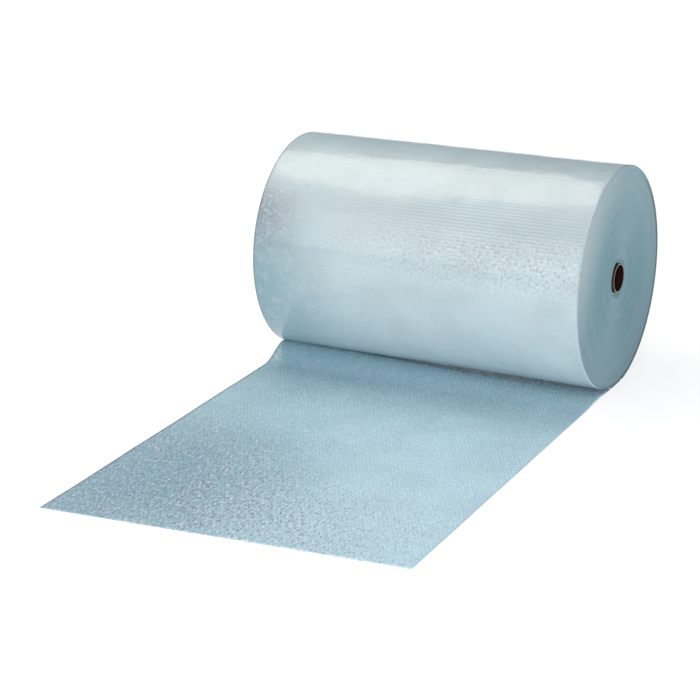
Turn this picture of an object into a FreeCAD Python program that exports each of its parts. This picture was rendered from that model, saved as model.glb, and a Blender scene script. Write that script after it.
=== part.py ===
"""A roll of small-bubble packing film on a cardboard core, with its free end drawn out along the floor.

Lengths are in millimetres. X runs along the core, Z is up and the free end lies towards -Y. The film comes in
along the floor, runs under the roll, up its back, over its top and then round and round down to the core.
The origin is in the middle of the floor that the roll and its free end cover.
"""

import FreeCAD, Part
import math
import os
from FreeCAD import Vector

# The film, from edge to edge and through one layer
film_width = 1000.0
layer_thickness = 4.0
backing_thickness = 1.0

# The rows of bubbles across the film
row_pitch = 10.0
row_crown = 4.0
row_flank = 2.0

# The roll
roll_diameter = 640.0
flat_spot_width = 90.0
end_rounding = 12.0
rounding_flats = 3

# The gaps between turns that show on both ends, one for every few turns
turns_per_gap = 6
gap_width = 4.0
gap_depth = 3.0

# The cardboard core
core_bore_diameter = 76.0
core_wall = 4.0

# The free end, measured forward from the middle of the flat spot
free_end_left = 1420.0
free_end_right = 1350.0
slack_crest = 158.0
slack_end = 270.0
slack_height_left = 25.0
slack_height_right = 5.0

roll_radius = roll_diameter / 2
flat_spot_half = flat_spot_width / 2
half_width = film_width / 2
core_radius = core_bore_diameter / 2 + core_wall

# The core's axis, placed so that the whole object is centred on the origin and rests on the floor
axis_y = (max(free_end_left, free_end_right) - roll_radius) / 2
axis_z = math.sqrt(roll_radius ** 2 - flat_spot_half ** 2)
along = Vector(1, 0, 0)


def cylinder(radius, length):
    """A round bar on the core's axis."""
    return Part.makeCylinder(radius, length, Vector(-length / 2, axis_y, axis_z), along)


def quarter_turn(number):
    """A quarter of the wound film, with its two ends rounded off in a few flats.

    Quarters are counted from the bottom by the back and the top to the front. Each has its centre a quarter
    of a layer from the last one's and a radius that much smaller, so the four close up one layer further in.
    """
    shift = layer_thickness / 4
    back = shift if number in (1, 2) else 0
    up = shift if number in (2, 3) else 0
    centre = Vector(0, axis_y + back, axis_z + up)
    radius = roll_radius - number * shift
    right_half = [Vector(half_width, 0, 0)]
    for flat in range(rounding_flats + 1):
        turn = math.pi / 2 * flat / rounding_flats
        inset = end_rounding * (1 - math.cos(turn))
        drop = end_rounding * (1 - math.sin(turn))
        right_half.append(Vector(half_width - inset, 0, drop - radius))
    left_half = [Vector(-corner.x, 0, corner.z) for corner in reversed(right_half)]
    section = Part.Face(Part.makePolygon(right_half + left_half + right_half[:1]))
    section.rotate(Vector(0, 0, 0), along, 90 * number)
    section.translate(centre)
    return section.revolve(centre, along, 90)


def gap_half_turn(centre_y, start_y):
    """Half a turn of the gap between turns, as a wedge sunk into the right end from the axis's level on.

    The wedge comes out of the end as far as it goes in, so it is one gap wide where it crosses the end.
    """
    bottom = Vector(half_width - gap_depth, start_y, axis_z)
    inner = Vector(half_width + gap_depth, start_y - gap_width, axis_z)
    outer = Vector(half_width + gap_depth, start_y + gap_width, axis_z)
    wedge = Part.Face(Part.makePolygon([bottom, inner, outer, bottom]))
    return wedge.revolve(Vector(0, centre_y, axis_z), along, 180)


def gaps_on_right_end():
    """The spiral gap on the right end, as cutters from near the core out to the rounded edge.

    It winds inwards from the back over the top, as the film does. The upper half turns have their centre on
    the core's axis and the lower ones half a pitch further forward, so each starts where the last one ends.
    """
    pitch = turns_per_gap * layer_thickness
    innermost = core_radius + pitch
    outermost = roll_radius - end_rounding - gap_width
    cutters = []
    for turn in range(math.floor((outermost - innermost) / pitch)):
        radius = innermost + (turn + 1) * pitch
        cutters.append(gap_half_turn(axis_y, axis_y + radius))
        cutters.append(gap_half_turn(axis_y - pitch / 2, axis_y - radius))
    return cutters


def wound_film():
    """The roll without its free end: solid film around the core's hole, flat where it rests."""
    roll = quarter_turn(0).fuse([quarter_turn(1), quarter_turn(2), quarter_turn(3)])
    floor = Part.makeBox(film_width, roll_diameter, roll_radius,
                         Vector(-half_width, axis_y - roll_radius, -roll_radius))
    right_gaps = gaps_on_right_end()
    left_gaps = [gap.mirror(Vector(0, 0, 0), along) for gap in right_gaps]
    return roll.cut([floor, cylinder(core_radius, film_width)] + right_gaps + left_gaps)


def slack(distance, height):
    """How far the film stands off the floor at a distance in front of the flat spot's middle."""
    if distance < slack_crest:
        share = (distance - flat_spot_half) / (slack_crest - flat_spot_half)
    else:
        share = (slack_end - distance) / (slack_end - slack_crest)
    share = min(max(share, 0), 1)
    return height * (1 - math.cos(math.pi * share)) / 2


def rows_section(x, starts, slack_height):
    """Outline across rows of bubbles, one from each start to the next: flat backing below, bubbles above."""
    side = (row_pitch - row_crown) / 2 - row_flank
    row_shape = [
        (side, backing_thickness),
        (side + row_flank, layer_thickness),
        (side + row_flank + row_crown, layer_thickness),
        (row_pitch - side, backing_thickness),
    ]

    def point(distance, height):
        return Vector(x, axis_y - distance, slack(distance, slack_height) + height)

    above = [point(start + along_row, height) for start in starts[:-1] for along_row, height in row_shape]
    below = [point(start, 0) for start in starts]
    first = point(starts[0], backing_thickness)
    last = point(starts[-1], backing_thickness)
    return Part.makePolygon([first] + above + [last] + below[::-1] + [first])


def free_end():
    """The film drawn out along the floor, slack on its left where it leaves the roll, and cut off askew."""
    rows = math.ceil((max(free_end_left, free_end_right) - flat_spot_half) / row_pitch)
    starts = [flat_spot_half + row * row_pitch for row in range(rows + 1)]
    down = math.ceil((slack_end - flat_spot_half) / row_pitch)
    under_roll = Part.makeBox(film_width, flat_spot_half, layer_thickness,
                              Vector(-half_width, axis_y - flat_spot_half, 0))
    left_edge = rows_section(-half_width, starts[:down + 1], slack_height_left)
    right_edge = rows_section(half_width, starts[:down + 1], slack_height_right)
    raised = Part.makeLoft([left_edge, right_edge], True, True)
    lying = Part.Face(rows_section(-half_width, starts[down:], 0)).extrude(along * film_width)
    plan = Part.makePolygon([
        Vector(-half_width, axis_y, 0),
        Vector(-half_width, axis_y - free_end_left, 0),
        Vector(half_width, axis_y - free_end_right, 0),
        Vector(half_width, axis_y, 0),
        Vector(-half_width, axis_y, 0),
    ])
    cut = Part.Face(plan).extrude(Vector(0, 0, roll_radius))
    return under_roll.fuse([raised, lying]).common(cut)


def bubble_film():
    """All of the film in one piece, wound and free."""
    return wound_film().fuse(free_end()).removeSplitter()


def core_tube():
    """The cardboard tube that the film is wound on, as long as the film is wide."""
    return cylinder(core_radius, film_width).cut(cylinder(core_bore_diameter / 2, film_width))


def write(name, shape):
    """Write one piece, which is a single solid, to its own file."""
    print(name, len(shape.Solids), shape.isValid(), round(shape.Volume))
    shape.Solids[0].exportStep(os.path.join("parts", name + ".step"))


os.makedirs("parts", exist_ok=True)
write("bubble_film", bubble_film())
write("core_tube", core_tube())
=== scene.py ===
"""A roll of bubble wrap, dressed for a photograph in a pale studio.

Lengths are in metres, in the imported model's own frame: X along the core, Z up, the free end towards -Y.
The film is made again in detail over its plain solid. The cardboard core keeps its solid.
"""

import math

import bpy
import numpy as np
from mathutils import Matrix, Quaternion, Vector

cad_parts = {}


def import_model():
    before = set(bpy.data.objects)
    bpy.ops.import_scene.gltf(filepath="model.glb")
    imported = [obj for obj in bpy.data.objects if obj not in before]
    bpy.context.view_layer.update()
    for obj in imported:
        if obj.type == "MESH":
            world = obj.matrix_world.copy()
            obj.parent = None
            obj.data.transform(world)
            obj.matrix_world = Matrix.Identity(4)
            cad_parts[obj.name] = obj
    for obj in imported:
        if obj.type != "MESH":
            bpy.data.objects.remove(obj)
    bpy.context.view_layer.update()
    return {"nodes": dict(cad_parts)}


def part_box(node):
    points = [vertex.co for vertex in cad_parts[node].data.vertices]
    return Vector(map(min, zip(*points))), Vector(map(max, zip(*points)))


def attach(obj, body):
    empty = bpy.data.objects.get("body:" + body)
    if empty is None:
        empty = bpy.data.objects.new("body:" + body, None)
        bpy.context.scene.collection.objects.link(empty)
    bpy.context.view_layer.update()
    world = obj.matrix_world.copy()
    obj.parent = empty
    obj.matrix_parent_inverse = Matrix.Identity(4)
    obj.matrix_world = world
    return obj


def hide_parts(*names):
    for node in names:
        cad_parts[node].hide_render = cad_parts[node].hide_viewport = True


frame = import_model()

# Sizes read from the solids
film_low, film_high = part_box("bubble_film")
core_low, core_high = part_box("core_tube")
HALF_WIDTH = film_high[0]
AXIS_Y = (core_low[1] + core_high[1]) / 2
AXIS_Z = (core_low[2] + core_high[2]) / 2
CORE_RADIUS = (core_high[1] - core_low[1]) / 2
ROLL_RADIUS = film_high[1] - AXIS_Y
FLAT_HALF = math.sqrt(ROLL_RADIUS ** 2 - AXIS_Z ** 2)
FREE_END_LEFT = AXIS_Y - film_low[1]

# How much shorter the askew cut leaves the free end on its right
ASKEW_CUT = 0.070
FREE_END_RIGHT = FREE_END_LEFT - ASKEW_CUT

# Where the outer turn leaves the floor, as an angle about the axis from the level line at the back
FILM_START = math.atan2(-AXIS_Z, FLAT_HALF)

# The film, with its bubbles in staggered rows
LAYER = 0.004
BACKING = 0.0004
QUARTER_SHIFT = LAYER / 4
ROW = 0.010
COLUMN = ROW * 2 / math.sqrt(3)
BUBBLE_RADIUS = 0.0052
BUBBLE_HEIGHT = 0.0010
END_ROUNDING = 0.001
SKIN_RELIEF = 0.0003

# How full the emptiest and the fullest bubbles are, and how far their tops lean, in bubble radii
BUBBLE_FILL = (0.2, 1.0)
BUBBLE_LEAN = 0.14

# How far a bubble keeps from the film's cut edges
BUBBLE_CLEARANCE = 0.0005

# Points along and across the free end's backing
BACKING_GRID = (161, 81)

# The turns' edges on both ends: points in a turn, turns from one change of depth to the next, and depths
EDGE_STEPS = 120
EDGE_CHANGE = 0.37
GAP_DEPTH = 0.0011
GAP_UNEVENNESS = 0.0006
RIDGE_DEPTH = 0.0007

# Around the core the turns' edges stand back from its ends, down to the full depth before they reach it
HOLLOW_REACH = 0.020
HOLLOW_DEPTH = 0.009
HOLLOW_STEEPNESS = 1.6

# The slack in front of the roll
SLACK_CREST = 0.150
SLACK_END = 0.270
SLACK_LEFT = 0.038
SLACK_RIGHT = 0.005

# The free end's waves: height, lengths from crest to crest, and the stretch over which they set in
RIPPLE_HEIGHT = 0.0016
LONG_WAVE = 0.43
CROSS_WAVE = 0.61
FINE_WAVE = 0.17
RIPPLE_RUN_IN = 0.15

# A painted glint along a line across the free end in front of the roll, measured like the film's own
# coordinate
GLINT_LINE = 0.055
GLINT_LINE_HALF = 0.006

# Colours of the film, as plain reflectances
FILM_WOUND = (0.42, 0.535, 0.58, 1)
FILM_SINGLE = (0.44, 0.65, 0.75, 1)
FILM_EDGE = (0.220, 0.415, 0.475, 1)
LAVENDER = (0.52, 0.54, 0.63, 1)
# Painted shade: the free end darker in front of the roll, and the roll's ends darker near the floor and at
# the back
PAINTED_SHADE = (0.20, 0.38, 0.48, 1)
DARK_PATCH = (0.085, 0.26, 0.365, 1)
# Painted shade: the roll darker low on its left
PAINTED_SHADE_WOUND = (0.09, 0.255, 0.325, 1)
DARK_PATCH_WOUND = (0.20, 0.17, 0.22, 1)
# Painted glints
PAINTED_GLINT = (0.72, 0.80, 0.90, 1)
# Painted light on the turns' edges
EDGE_PAINTED_LIGHT = (0.52, 0.63, 0.67, 1)

# Width of the dark rim at the film's left edge, and the two radii between which the roll's ends darken with
# painted shade at their back, measured inwards from the roll's outside
SKIN_RIM = 0.006
END_RIM_SHADE = (0.018, 0.004)

# How deep the fine relief of the materials is
FILM_BUMP = 0.0006
CARD_BUMP = 0.0003

# The cardboard core
CORE_SPIRALS_PER_METRE = 7.0
# The bore's colours are painted near black for the shade inside the tube
BORE_SHADE_DARK = (0.010, 0.003, 0.003, 1)
BORE_SHADE_PALE = (0.034, 0.010, 0.009, 1)
BORE_SHADE_SEAM = (0.006, 0.003, 0.002, 1)
CUT_DARK = (0.34, 0.30, 0.22, 1)
CUT_PALE = (0.52, 0.48, 0.38, 1)
# Painted shade on the core's outside, in the gap beside the film
CORE_OUTSIDE_SHADE = (0.030, 0.034, 0.028, 1)

# The borders of the card's cut end, measured inwards from the core's outside
CUT_TO_BORE = (0.0038, 0.0034)
CUT_TO_OUTSIDE = (0.0006, 0.0002)

# Light and studio
WHITE = (1.0, 1.0, 1.0)
WARM = (1.0, 0.91, 0.80)
ROLL_MIDDLE = (0, 0.5, 0.35)
OVERHEAD_X = -1.00
OVERHEAD_Y = 0.95
FLOOR_HALF = 40.0
FLOOR_DROP = 0.0005
FLOOR_PAINT = (0.75, 0.75, 0.75, 1)
FLOOR_IN_PICTURE = (0.42, 0.42, 0.42, 1)
SKY_FRONT = (0.59, 0.59, 0.60, 1)
SKY_BACK = (0.29, 0.36, 0.40, 1)

# The floor's glow near the object and far from it, and the distances from the origin between which it rises
GLOW_NEAR = 0.69
GLOW_FAR = 0.90
GLOW_RISE = (1.2, 4.0)

# Camera, from measured points of the photograph's outline
FOCAL_PIXELS = 2161.4
FRAME_PIXELS = 700
SENSOR_MM = 36
CAMERA_AZIMUTH = math.radians(27.609)
CAMERA_ELEVATION = math.radians(19.652)
CAMERA_ROLL = math.radians(-1.193)
CAMERA_DISTANCE = 6.387
CAMERA_SIDEWAYS = -0.316
CAMERA_UPWARDS = 0.0283

rng = np.random.default_rng(7)


def slack(distance, x):
    """How far the film stands off the floor, in front of the roll and from side to side.

    Where it leaves the roll it keeps just below the outer turn's front lower quarter.
    """
    rising = (distance - FLAT_HALF) / (SLACK_CREST - FLAT_HALF)
    falling = (SLACK_END - distance) / (SLACK_END - SLACK_CREST)
    share = np.clip(np.where(distance < SLACK_CREST, rising, falling), 0, 1)
    across = (x + HALF_WIDTH) / (2 * HALF_WIDTH)
    height = SLACK_LEFT + (SLACK_RIGHT - SLACK_LEFT) * across
    free = height * (1 - np.cos(np.pi * share)) / 2
    radius = ROLL_RADIUS - 3 * QUARTER_SHIFT
    underside = AXIS_Z + QUARTER_SHIFT - np.sqrt(radius ** 2 - np.minimum(distance, radius) ** 2)
    return np.minimum(free, np.maximum(underside - BACKING - SKIN_RELIEF, 0))


def ripple(distance, x):
    """Shallow waves that film keeps after it was rolled up, none of them below the floor."""
    long_wave = np.sin(2 * np.pi * distance / LONG_WAVE + 1.3 * x + 0.4)
    cross_wave = np.sin(2 * np.pi * (x + 0.35 * distance) / CROSS_WAVE + 1.1)
    fine_wave = np.sin(2 * np.pi * distance / FINE_WAVE - 5.0 * x)
    lift = RIPPLE_HEIGHT * (1 + 0.5 * long_wave + 0.3 * cross_wave + 0.2 * fine_wave) / 2
    away = np.clip((distance - FLAT_HALF) / RIPPLE_RUN_IN, 0, 1)
    return lift * away


def free_end_point(distance, x):
    """A point of the free end's backing, by its distance in front of the contact line and its x."""
    return np.stack([x, AXIS_Y - distance, slack(distance, x) + ripple(distance, x)], axis=-1)


def free_end_length(x):
    """How far the free end reaches at a place across it."""
    across = (x + HALF_WIDTH) / (2 * HALF_WIDTH)
    return FREE_END_LEFT + (FREE_END_RIGHT - FREE_END_LEFT) * across


def outer_turn_point(angle, inset):
    """Y and Z on the wound film's outside, from the angle above the level line at the back.

    The outer turn is four quarter circles with shifted centres, so that it closes up one layer further in.
    """
    quarter = np.clip(np.floor((angle + np.pi / 2) / (np.pi / 2)), 0, 4)
    centre_y = AXIS_Y + QUARTER_SHIFT * ((quarter == 1) | (quarter == 2))
    centre_z = AXIS_Z + QUARTER_SHIFT * ((quarter == 2) | (quarter == 3))
    radius = ROLL_RADIUS - quarter * QUARTER_SHIFT - inset
    return centre_y + radius * np.cos(angle), centre_z + radius * np.sin(angle)


def make_mesh(name, points, faces, uv):
    """A smooth mesh piece of the root body from arrays of points, equal-sided faces and film coordinates."""
    mesh = bpy.data.meshes.new(name)
    sides = faces.shape[1]
    mesh.vertices.add(len(points))
    mesh.vertices.foreach_set("co", points.astype(np.float32).ravel())
    mesh.loops.add(faces.size)
    mesh.loops.foreach_set("vertex_index", faces.astype(np.int32).ravel())
    mesh.polygons.add(len(faces))
    mesh.polygons.foreach_set("loop_start", np.arange(0, faces.size, sides, dtype=np.int32))
    mesh.polygons.foreach_set("use_smooth", np.full(len(faces), True))
    layer = mesh.uv_layers.new(name="film")
    layer.data.foreach_set("uv", uv[faces.ravel()].astype(np.float32).ravel())
    mesh.update()
    mesh.validate()
    piece = bpy.data.objects.new(name, mesh)
    bpy.context.scene.collection.objects.link(piece)
    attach(piece, "root")
    return piece


def grid_faces(rows, columns):
    """Quads between neighbouring points of a grid stored row by row."""
    corner = np.arange((rows - 1) * (columns - 1))
    corner = corner // (columns - 1) * columns + corner % (columns - 1)
    return np.stack([corner, corner + 1, corner + columns + 1, corner + columns], axis=1)


def backing_film():
    """The free end's backing: a thin slab from the front of the flat spot to the askew cut."""
    rows, columns = BACKING_GRID
    along = np.linspace(0, 1, rows)
    across = np.linspace(-HALF_WIDTH, HALF_WIDTH, columns)
    share, x = np.meshgrid(along, across, indexing="ij")
    distance = FLAT_HALF + share * (free_end_length(x) - FLAT_HALF)
    under = free_end_point(distance, x)
    over = under + np.array([0, 0, BACKING])
    below = grid_faces(rows, columns)
    above = below[:, ::-1] + rows * columns
    index = np.arange(rows * columns).reshape(rows, columns)
    rim = np.concatenate([index[0, :], index[1:, -1], index[-1, -2::-1], index[-2:0:-1, 0]])
    ahead = np.roll(rim, -1)
    sides = np.stack([rim, rim + rows * columns, ahead + rows * columns, ahead], axis=1)
    points = np.concatenate([under.reshape(-1, 3), over.reshape(-1, 3)])
    faces = np.concatenate([below, above, sides])
    uv = np.stack([x.ravel(), distance.ravel() - FLAT_HALF - ROW / 2], axis=1)
    return make_mesh("free_end_backing", points, faces, np.concatenate([uv, uv]))


def bubble_centres():
    """Distance and place across of each bubble on the free end, in staggered rows that stop at the cut."""
    rows = np.arange(math.ceil(FREE_END_LEFT / ROW))
    columns = np.arange(-math.ceil(HALF_WIDTH / COLUMN), math.ceil(HALF_WIDTH / COLUMN) + 1)
    row, column = np.meshgrid(rows, columns, indexing="ij")
    distance = (FLAT_HALF + (row + 0.5) * ROW).ravel()
    x = ((column + 0.5 * (row % 2)) * COLUMN).ravel()
    margin = BUBBLE_RADIUS + BUBBLE_CLEARANCE
    kept = (np.abs(x) < HALF_WIDTH - margin) & (distance < free_end_length(x) - margin)
    return distance[kept], x[kept]


def dome():
    """Points and triangles of one bubble, one radius wide and one height tall, without a floor."""
    sides = 8
    rings = [(1.0, 0.0), (0.93, 0.62), (0.62, 0.95)]
    turn = 2 * np.pi * np.arange(sides) / sides
    points = [(r * np.cos(t), r * np.sin(t), z) for r, z in rings for t in turn] + [(0.0, 0.0, 1.0)]
    ring = np.arange(sides)
    ahead = np.roll(ring, -1)
    triangles = []
    for level in range(len(rings) - 1):
        low, high = level * sides, (level + 1) * sides
        triangles.append(np.stack([low + ring, low + ahead, high + ahead], axis=1))
        triangles.append(np.stack([low + ring, high + ahead, high + ring], axis=1))
    top = (len(rings) - 1) * sides
    triangles.append(np.stack([top + ring, top + ahead, np.full(sides, len(points) - 1)], axis=1))
    return np.array(points), np.concatenate(triangles)


def bubbles(name, distance, x):
    """Domes of air on the backing, each a little different in height and in how it leans."""
    template, triangles = dome()
    step = 0.002
    centre = free_end_point(distance, x)
    forward = free_end_point(distance + step, x) - free_end_point(distance - step, x)
    sideways = free_end_point(distance, x + step) - free_end_point(distance, x - step)
    forward /= np.linalg.norm(forward, axis=1, keepdims=True)
    sideways /= np.linalg.norm(sideways, axis=1, keepdims=True)
    up = np.cross(forward, sideways)
    height = BUBBLE_HEIGHT * rng.uniform(*BUBBLE_FILL, len(x))
    lean = rng.normal(0, BUBBLE_LEAN, (len(x), 2))
    local_x = BUBBLE_RADIUS * (template[None, :, 0] + lean[:, :1] * template[None, :, 2])
    local_y = BUBBLE_RADIUS * (template[None, :, 1] + lean[:, 1:] * template[None, :, 2])
    local_z = height[:, None] * template[None, :, 2] + BACKING * 0.5
    points = (centre[:, None] + local_x[..., None] * sideways[:, None] - local_y[..., None] * forward[:, None]
              + local_z[..., None] * up[:, None])
    faces = triangles[None] + len(template) * np.arange(len(x))[:, None, None]
    uv = np.stack([np.repeat(x, len(template)) + local_x.ravel(),
                   np.repeat(distance - FLAT_HALF - ROW / 2, len(template)) + local_y.ravel()], axis=1)
    return make_mesh(name, points.reshape(-1, 3), faces.reshape(-1, 3), uv)


def roll_skin():
    """The wound film's outside with both ends rounded over, as a lattice that is raised at each bubble.

    Three lines of points make up a row: one through the bubbles' middles and two through the hollows between.
    """
    straight = HALF_WIDTH - END_ROUNDING
    reach = straight + END_ROUNDING * math.pi / 2
    row_angle = ROW / ROLL_RADIUS
    half_columns = math.ceil(reach / COLUMN)
    lines = np.arange(3 * math.ceil(2 * math.pi / row_angle) + 1)
    columns = np.arange(-half_columns, half_columns + 1)
    shifted = (lines // 3 + (lines % 3 == 1)) % 2
    line, column = np.meshgrid(lines, columns, indexing="ij")

    u = ((column + 0.5 * shifted[:, None]) * COLUMN).clip(-reach, reach)
    over = np.clip((np.abs(u) - straight) / END_ROUNDING, 0, math.pi / 2)
    x = np.sign(u) * (np.minimum(np.abs(u), straight) + END_ROUNDING * np.sin(over))
    raised = np.where(line % 3 == 0, SKIN_RELIEF * rng.uniform(*BUBBLE_FILL, line.shape), 0.0)
    inset = END_ROUNDING * (1 - np.cos(over)) + (SKIN_RELIEF - raised) * np.cos(over)
    y, z = outer_turn_point(FILM_START + line / 3 * row_angle, inset)
    points = np.stack([x, y, np.maximum(z, 0)], axis=-1).reshape(-1, 3)
    uv = np.stack([u, -line / 3 * ROW], axis=-1).reshape(-1, 2)

    quads = grid_faces(len(lines), len(columns))
    leans_left = np.repeat(shifted[:-1] > shifted[1:], len(columns) - 1)[:, None]
    first = np.where(leans_left, quads[:, [0, 1, 2]], quads[:, [0, 1, 3]])
    second = np.where(leans_left, quads[:, [0, 2, 3]], quads[:, [1, 2, 3]])
    return make_mesh("roll_skin", points, np.concatenate([first, second])[:, ::-1], uv)


def roll_end(name, side):
    """One end of the wound film: every turn's edge as a soft ridge, winding inwards down to the core.

    The outermost edge is pressed flat on the floor with the roll's flat spot.
    """
    outer = ROLL_RADIUS - END_ROUNDING
    turns = (outer - CORE_RADIUS) / LAYER
    count = math.ceil(turns * EDGE_STEPS) + 1
    turn = np.arange(count + EDGE_STEPS) / EDGE_STEPS
    angle = FILM_START + 2 * math.pi * turn
    radius = np.maximum(outer - LAYER * turn, CORE_RADIUS)
    ridge_radius = np.maximum(radius - LAYER / 2, CORE_RADIUS)
    pressed = (turn < 1) & (np.sin(angle) <= math.sin(FILM_START))
    radius = np.where(pressed, AXIS_Z / np.abs(np.sin(angle)), radius)

    changes = np.arange(0, turns + 3, EDGE_CHANGE)
    uneven = np.interp(turn, changes, rng.uniform(0, 1, len(changes)))
    near_core = np.clip((CORE_RADIUS + HOLLOW_REACH - radius) / HOLLOW_REACH, 0, 1)
    hollow = HOLLOW_DEPTH * (1 - np.cos(np.pi * np.clip(near_core * HOLLOW_STEEPNESS, 0, 1))) / 2
    gap_depth = np.where(turn < 1, 0, GAP_DEPTH + GAP_UNEVENNESS * uneven) + hollow
    ridge_depth = RIDGE_DEPTH * (1 - uneven) * np.clip(turn, 0, 1) + hollow

    def ring(radii, depth):
        return np.stack([side * (HALF_WIDTH - depth), AXIS_Y + radii * np.cos(angle),
                         AXIS_Z + radii * np.sin(angle)], axis=1)

    points = np.concatenate([ring(radius, gap_depth), ring(ridge_radius, ridge_depth)])
    here = np.arange(count - 1)
    ridge = here + count + EDGE_STEPS
    outer_quads = np.stack([here, here + 1, ridge + 1, ridge], axis=1)
    inner_quads = np.stack([ridge, ridge + 1, here + EDGE_STEPS + 1, here + EDGE_STEPS], axis=1)
    faces = np.concatenate([outer_quads, inner_quads])
    if side > 0:
        faces = faces[:, ::-1]
    uv = np.concatenate([np.stack([turn, radius], axis=1), np.stack([turn, ridge_radius], axis=1)])
    return make_mesh(name, points, faces, uv)


class Nodes:
    """A node tree, with each node added, set and linked in one call that gives back its first output."""

    def __init__(self, tree):
        self.tree = tree
        self.tree.nodes.clear()

    def node(self, kind, inputs, **settings):
        node = self.tree.nodes.new("ShaderNode" + kind)
        for key, value in settings.items():
            setattr(node, key, value)
        for key, value in inputs.items():
            if isinstance(value, bpy.types.NodeSocket):
                self.tree.links.new(value, node.inputs[key])
            else:
                node.inputs[key].default_value = value
        return node

    def add(self, kind, inputs, **settings):
        return self.node(kind, inputs, **settings).outputs[0]

    def maths(self, operation, *values):
        return self.add("Math", dict(enumerate(values)), operation=operation)

    def vector(self, operation, *values):
        node = self.node("VectorMath", dict(enumerate(values)), operation=operation)
        return node.outputs["Value" if operation in ("DOT_PRODUCT", "LENGTH") else "Vector"]

    def length(self, vector):
        return self.vector("LENGTH", vector)

    def blend(self, share, first, second):
        """A colour between two, by a share from 0 to 1."""
        return self.node("Mix", {0: share, 6: first, 7: second}, data_type="RGBA").outputs[2]

    def step(self, value, low, high, at_low=0.0, at_high=1.0):
        """A smooth step between two values, as another value goes from low to high."""
        return self.add("MapRange", {0: value, 1: low, 2: high, 3: at_low, 4: at_high},
                        interpolation_type="SMOOTHSTEP")

    def noise(self, vector, scale, detail=2.0):
        return self.add("TexNoise", {"Vector": vector, "Scale": scale, "Detail": detail})


def new_material(name):
    """An empty material and the nodes to fill it with."""
    material = bpy.data.materials.new(name)
    material.use_nodes = True
    return material, Nodes(material.node_tree)


def tint(colour, factor):
    """A colour made paler or deeper by a factor."""
    return tuple(min(1.0, factor * channel) for channel in colour[:3]) + (1.0,)


def nearest_bubble(n, uv):
    """How far a point of the film is from the middle of the nearest bubble, and where that middle is."""
    half = (COLUMN / 2, ROW, 1.0)
    low = tuple(-side for side in half)
    in_line = n.vector("WRAP", uv, half, low)
    between = n.vector("WRAP", n.vector("ADD", uv, half), half, low)
    nearer = n.maths("LESS_THAN", n.length(between), n.length(in_line))
    local = n.node("Mix", {0: nearer, 4: in_line, 5: between}, data_type="VECTOR").outputs[1]
    return n.length(local), n.vector("SUBTRACT", uv, local)


def oval(n, uv, middle_u, middle_v, reach_u, reach_v):
    """A share that is 1 in the middle of a soft oval on the film and falls to 0 at its edge."""
    from_middle = n.vector("SUBTRACT", uv, (middle_u, middle_v, 0.0))
    return n.step(n.length(n.vector("DIVIDE", from_middle, (reach_u, reach_v, 1.0))), 0.0, 1.0, 1.0, 0.0)


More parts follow.
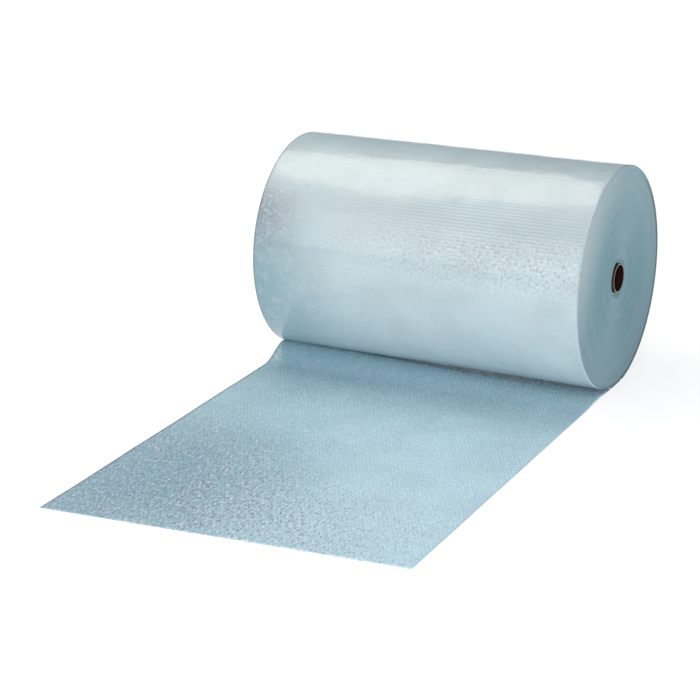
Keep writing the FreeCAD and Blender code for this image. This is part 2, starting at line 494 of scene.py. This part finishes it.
def film_material(name, colour, gloss_roughness, lift, dark_patch_colour, dark_patch,
                  painted_shade_colour, painted_shade, ribbed, sparkling, sparkle_strength, grain):
    """Clear tinted film over air, with a wet gloss, deeper seams and four soft ovals.

    Each oval is given by its middle and its reach, across and along the film. The film takes a darker colour
    in the dark patch, and painted shade in the painted shade oval. It is lined where it is ribbed, and
    carries painted sparkle, pale glints and dark flecks of shade, in the dark patch and where it is
    sparkling: the higher the sparkle strength, the stronger they are, and the higher the grain, the finer.
    Light that comes in from above leaves lower down too, so the normal that takes it in is lifted.
    """
    material, n = new_material(name)
    uv = n.add("UVMap", {}, uv_map="film")
    u, v = n.node("SeparateXYZ", {0: uv}).outputs[:2]
    distance, middle = nearest_bubble(n, uv)
    dark_patch, painted_shade, ribbed, sparkling = [oval(n, uv, *place) for place in (dark_patch, painted_shade, ribbed, sparkling)]
    cloud = n.noise(uv, 6.0, 3.0)
    blotch = n.noise(uv, 38.0, 2.0)
    speck = n.noise(n.vector("MULTIPLY", uv, grain), 1.0, 3.0)
    seam = n.step(distance, BUBBLE_RADIUS * 0.75, BUBBLE_RADIUS * 1.15)
    row = n.step(n.maths("PINGPONG", v, ROW / 2), 0.0, ROW / 2)
    rim = n.step(u, SKIN_RIM - HALF_WIDTH, -HALF_WIDTH)

    shade = n.blend(n.step(cloud, 0.35, 0.65), tint(colour, 0.95), tint(colour, 1.05))
    # Darker in the dark patch, where the film is also more crinkled
    shade = n.blend(n.maths("MULTIPLY", dark_patch, 0.70), shade, dark_patch_colour)
    # Painted shade: darker in front of the roll on the free end, and low on the roll's left
    shade = n.blend(n.maths("MULTIPLY", painted_shade, 0.90), shade, painted_shade_colour)
    shade = n.blend(n.step(blotch, 0.45, 0.75, 0.0, 0.25), shade, LAVENDER)
    shade = n.blend(n.maths("MULTIPLY", seam, 0.03), shade, tint(colour, 0.5))
    ribs = n.maths("MULTIPLY", row, n.step(ribbed, 0.0, 1.0, 0.04, 0.48))
    shade = n.blend(ribs, shade, tint(colour, 0.6))
    # Painted sparkle: pale glint flecks and dark flecks of shade, in the dark patch and where the film
    # sparkles
    painted_sparkle = n.maths("ADD", n.step(dark_patch, 0.0, 0.8, 0.02, sparkle_strength), n.maths("MULTIPLY", sparkling, sparkle_strength))
    painted_sparkle = n.maths("MULTIPLY", painted_sparkle, n.step(blotch, 0.38, 0.62, 0.8, 1.4))
    shade = n.blend(n.maths("MULTIPLY", n.step(speck, 0.51, 0.64), painted_sparkle), shade, tint(LAVENDER, 0.35))
    shade = n.blend(n.maths("MULTIPLY", n.step(speck, 0.34, 0.47, 0.6, 0.0), painted_sparkle), shade, PAINTED_GLINT)
    # Painted glints along a line in front of the roll
    from_glint_line = n.maths("ABSOLUTE", n.maths("SUBTRACT", v, GLINT_LINE))
    glint_line = n.step(from_glint_line, 0.0, GLINT_LINE_HALF, 1.0, 0.0)
    shade = n.blend(n.maths("MULTIPLY", glint_line, n.step(speck, 0.40, 0.60, 0.0, 0.6)), shade, PAINTED_GLINT)
    # A dark rim at the film's left edge, in a deeper tone of the painted shade's colour
    shade = n.blend(n.maths("MULTIPLY", rim, 0.8), shade, tint(painted_shade_colour, 0.5))

    dome_height = n.step(distance, BUBBLE_RADIUS * 0.6, BUBBLE_RADIUS * 1.1, 0.12, 0.0)
    crinkle = n.maths("MULTIPLY", n.noise(uv, 150.0, 4.0), n.step(dark_patch, 0.0, 0.8, 0.3, 4.0))
    wave = n.maths("MULTIPLY", n.noise(n.vector("MULTIPLY", uv, (9.0, 16.0, 1.0)), 1.0, 2.0), 4.0)
    height = n.maths("ADD", n.maths("ADD", dome_height, crinkle), wave)
    normal = n.add("Bump", {"Strength": 1.0, "Distance": FILM_BUMP, "Height": height})
    lifted = n.vector("NORMALIZE", n.vector("ADD", normal, (0.0, 0.0, lift)))
    gloss = n.step(n.noise(middle, 317.0, 0.0), 0.3, 0.7, gloss_roughness * 0.7, gloss_roughness * 1.3)
    shader = n.add("BsdfPrincipled", {
        "Base Color": shade, "Roughness": 0.4, "IOR": 1.5, "Normal": lifted,
        "Coat Weight": 1.0, "Coat Roughness": gloss, "Coat IOR": 1.55, "Coat Normal": normal,
    })
    n.node("OutputMaterial", {0: shader})
    return material


def edges_material():
    """The turns' edges on the roll's ends: many film edges side by side, more matt than the film's face.

    Painted light makes them paler outwards and up at the front, and painted shade makes them darker near the
    floor and in the rim at the back.
    """
    material, n = new_material("film_edges")
    uv = n.add("UVMap", {}, uv_map="film")
    layers = n.noise(n.vector("MULTIPLY", uv, (1.4, 420.0, 1.0)), 1.0, 3.0)
    place = n.add("NewGeometry", {})
    cloud = n.noise(place, 4.0, 2.0)
    speck = n.noise(place, 260.0, 2.0)
    from_axis = n.vector("SUBTRACT", place, (HALF_WIDTH, AXIS_Y, AXIS_Z))
    radius = n.length(n.vector("MULTIPLY", from_axis, (0.0, 1.0, 1.0)))
    to_front = n.vector("DOT_PRODUCT", from_axis, (0.0, -0.8, 0.6))
    shade = n.blend(n.step(layers, 0.35, 0.70), tint(FILM_EDGE, 0.93), tint(FILM_EDGE, 1.07))
    shade = n.blend(n.step(cloud, 0.40, 0.65, 0.0, 0.2), shade, tint(LAVENDER, 0.6))
    shade = n.blend(n.step(speck, 0.50, 0.75, 0.0, 0.35), shade, tint(FILM_EDGE, 1.35))
    # Painted light: paler up at the front and towards the outside
    pale = n.maths("ADD", n.step(to_front, 0.10, 0.34, 0.0, 0.80), n.step(radius, 0.16, 0.31, 0.0, 0.22))
    shade = n.blend(pale, shade, EDGE_PAINTED_LIGHT)
    # Painted shade: darker near the floor
    low = n.step(n.node("SeparateXYZ", {0: place}).outputs[2], 0.0, 0.45, 0.6, 0.0)
    shade = n.blend(low, shade, tint(PAINTED_SHADE, 0.75))
    # Painted shade: a darker rim at the back of the end
    rim = n.step(radius, ROLL_RADIUS - END_RIM_SHADE[0], ROLL_RADIUS - END_RIM_SHADE[1])
    rim = n.maths("MULTIPLY", rim, n.step(to_front, -0.20, 0.10, 0.9, 0.0))
    shade = n.blend(rim, shade, tint(PAINTED_SHADE, 0.3))
    relief = n.maths("ADD", layers, speck)
    normal = n.add("Bump", {"Strength": 0.4, "Distance": FILM_BUMP, "Height": relief})
    shader = n.add("BsdfPrincipled", {"Base Color": shade, "Roughness": 0.5, "IOR": 1.5, "Normal": normal})
    n.node("OutputMaterial", {0: shader})
    return material


def core_material():
    """Wound card: a pale cut rim, a bore painted dark red-brown near black for the shade inside, with the
    spiral seams of its paper, and an outside painted near black for the shade beside the film.
    """
    material, n = new_material("core_card")
    place = n.add("NewGeometry", {})
    x, y, z = n.node("SeparateXYZ", {0: n.vector("SUBTRACT", place, (0.0, AXIS_Y, AXIS_Z))}).outputs
    radius = n.length(n.add("CombineXYZ", {1: y, 2: z}))
    turns = n.maths("MULTIPLY", n.maths("ARCTAN2", z, y), 1 / (2 * math.pi))
    helix = n.maths("FRACT", n.maths("ADD", n.maths("MULTIPLY", x, CORE_SPIRALS_PER_METRE), turns))
    seam = n.step(helix, 0.0, 0.03, 1.0, 0.0)
    fibre = n.noise(n.vector("MULTIPLY", place, (60.0, 400.0, 400.0)), 1.0, 3.0)
    # Painted shade: the bore near black
    bore = n.blend(seam, n.blend(fibre, BORE_SHADE_DARK, BORE_SHADE_PALE), BORE_SHADE_SEAM)
    cut = n.blend(fibre, CUT_DARK, CUT_PALE)
    in_cut = n.step(radius, CORE_RADIUS - CUT_TO_BORE[0], CORE_RADIUS - CUT_TO_BORE[1])
    # Painted shade: the core's outside near black
    outside = n.step(radius, CORE_RADIUS - CUT_TO_OUTSIDE[0], CORE_RADIUS - CUT_TO_OUTSIDE[1])
    shade = n.blend(outside, n.blend(in_cut, bore, cut), CORE_OUTSIDE_SHADE)
    relief = n.maths("SUBTRACT", fibre, seam)
    normal = n.add("Bump", {"Strength": 0.5, "Distance": CARD_BUMP, "Height": relief})
    shader = n.add("BsdfPrincipled", {
        "Base Color": shade, "Roughness": 0.85, "Specular IOR Level": 0.15, "Normal": normal,
    })
    n.node("OutputMaterial", {0: shader})
    return material


def place_camera():
    """The photograph's camera, by its angles and its offset from the line where the roll rests."""
    back = Vector((math.sin(CAMERA_AZIMUTH) * math.cos(CAMERA_ELEVATION),
                   -math.cos(CAMERA_AZIMUTH) * math.cos(CAMERA_ELEVATION),
                   math.sin(CAMERA_ELEVATION)))
    level = Vector((0, 0, 1)).cross(back).normalized()
    upright = back.cross(level)
    right = math.cos(CAMERA_ROLL) * level + math.sin(CAMERA_ROLL) * upright
    up = -math.sin(CAMERA_ROLL) * level + math.cos(CAMERA_ROLL) * upright
    contact = Vector((0, AXIS_Y, 0))
    place = contact + back * CAMERA_DISTANCE + right * CAMERA_SIDEWAYS + up * CAMERA_UPWARDS
    data = bpy.data.cameras.new("camera")
    data.sensor_width = SENSOR_MM
    data.lens = FOCAL_PIXELS / FRAME_PIXELS * SENSOR_MM
    camera = bpy.data.objects.new("camera", data)
    camera.matrix_world = Matrix((
        (right.x, up.x, back.x, place.x),
        (right.y, up.y, back.y, place.y),
        (right.z, up.z, back.z, place.z),
        (0, 0, 0, 1),
    ))
    bpy.context.scene.collection.objects.link(camera)
    bpy.context.scene.camera = camera


def softbox(name, place, target, size, radiance, colour, turn=0.0, in_gloss=True):
    """A plain rectangular light that faces its target, turned about its own axis.

    A light that only fills the shade is kept out of the gloss, where it would show as a patch of white.
    """
    data = bpy.data.lights.new(name, "AREA")
    data.shape = "RECTANGLE"
    data.size, data.size_y = size
    data.energy = radiance * math.pi * data.size * data.size_y
    data.color = colour
    light = bpy.data.objects.new(name, data)
    light.location = place
    facing = (Vector(target) - Vector(place)).to_track_quat("-Z", "Y")
    light.rotation_euler = (facing @ Quaternion((0, 0, 1), turn)).to_euler()
    light.visible_glossy = in_gloss
    bpy.context.scene.collection.objects.link(light)


def floor():
    """A white floor that fills the picture and keeps the object's shadow.

    To the camera, to gloss and through glass it also glows, and more so away from the object. To all else it
    is plain pale paint.
    """
    half = FLOOR_HALF
    corners = [(-half, -half, 0), (half, -half, 0), (half, half, 0), (-half, half, 0)]
    mesh = bpy.data.meshes.new("floor")
    mesh.from_pydata(corners, [], [(0, 1, 2, 3)])
    plane = bpy.data.objects.new("floor", mesh)
    plane.location.z = -FLOOR_DROP
    bpy.context.scene.collection.objects.link(plane)
    material, n = new_material("floor_paint")
    path = n.node("LightPath", {}).outputs
    seen = n.maths("MAXIMUM", path["Is Camera Ray"], path["Is Glossy Ray"])
    seen = n.maths("MAXIMUM", seen, path["Is Transmission Ray"])
    strength = n.step(n.length(n.add("NewGeometry", {})), *GLOW_RISE, GLOW_NEAR, GLOW_FAR)
    paint = n.add("BsdfDiffuse", {"Color": FLOOR_PAINT})
    shaded = n.add("BsdfDiffuse", {"Color": FLOOR_IN_PICTURE})
    glow = n.add("Emission", {"Color": (1, 1, 1, 1), "Strength": strength})
    shown = n.add("AddShader", {0: shaded, 1: glow})
    n.node("OutputMaterial", {0: n.add("MixShader", {0: seen, 1: paint, 2: shown})})
    mesh.materials.append(material)


def world():
    """Plain pale light from all around, with less of it from the back."""
    studio = bpy.data.worlds.new("studio")
    bpy.context.scene.world = studio
    studio.use_nodes = True
    n = Nodes(studio.node_tree)
    towards_back = n.vector("DOT_PRODUCT", n.node("TexCoord", {}).outputs["Generated"], (0.0, 1.0, 0.0))
    light = n.blend(n.step(towards_back, 0.0, 1.0), SKY_FRONT, SKY_BACK)
    n.node("OutputWorld", {0: n.add("Background", {"Color": light})})


# The film: its free end in one thickness, and what is wound on the core
distance, x = bubble_centres()
third = len(x) // 3
single = film_material(
    "film_single", FILM_SINGLE, gloss_roughness=0.22, lift=0.6,
    dark_patch_colour=DARK_PATCH, dark_patch=(-0.34, 1.10, 0.62, 0.80),
    painted_shade_colour=PAINTED_SHADE, painted_shade=(-0.40, 0.0, 1.5, 0.66),
    ribbed=(0.3, 0.3, 0.3, 0.1), sparkling=(0.12, 1.20, 0.60, 0.46),
    sparkle_strength=0.68, grain=(145.0, 70.0, 1.0),
)
wound = film_material(
    "film_wound", FILM_WOUND, gloss_roughness=0.10, lift=0.35,
    dark_patch_colour=DARK_PATCH_WOUND, dark_patch=(-0.56, -1.31, 0.26, 0.18),
    painted_shade_colour=PAINTED_SHADE_WOUND, painted_shade=(-0.62, -1.56, 0.50, 0.50),
    ribbed=(0.2, -1.26, 0.65, 0.16), sparkling=(0.34, -1.36, 0.85, 0.13),
    sparkle_strength=0.36, grain=(110.0, 110.0, 1.0),
)
edges = edges_material()
dressed = [
    (backing_film(), single),
    (bubbles("free_end_bubbles_near_roll", distance[:third], x[:third]), single),
    (bubbles("free_end_bubbles_middle", distance[third:2 * third], x[third:2 * third]), single),
    (bubbles("free_end_bubbles_outer", distance[2 * third:], x[2 * third:]), single),
    (roll_skin(), wound),
    (roll_end("roll_end_right", 1), edges),
    (roll_end("roll_end_left", -1), edges),
]
for piece, material in dressed:
    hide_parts("bubble_film")
    piece.data.materials.append(material)

# The core
core = frame["nodes"]["core_tube"]
core.data.materials.clear()
core.data.materials.append(core_material())

# The studio
place_camera()
floor()
world()
softbox("overhead_softbox", (OVERHEAD_X, OVERHEAD_Y, 2.65), (OVERHEAD_X, OVERHEAD_Y, 0), (1.85, 1.95), 2.35,
        WARM, turn=math.radians(30))
softbox("left_softbox", (-1.90, -3.50, 2.60), ROLL_MIDDLE, (2.8, 3.2), 1.3, WARM)
softbox("front_softbox", (1.06, -3.65, 1.30), ROLL_MIDDLE, (2.2, 2.6), 3.4, WHITE, in_gloss=False)
softbox("side_softbox", (2.82, -2.80, 1.0), ROLL_MIDDLE, (2.2, 2.4), 3.0, WHITE, in_gloss=False)
bpy.context.scene.view_settings.view_transform = "Standard"
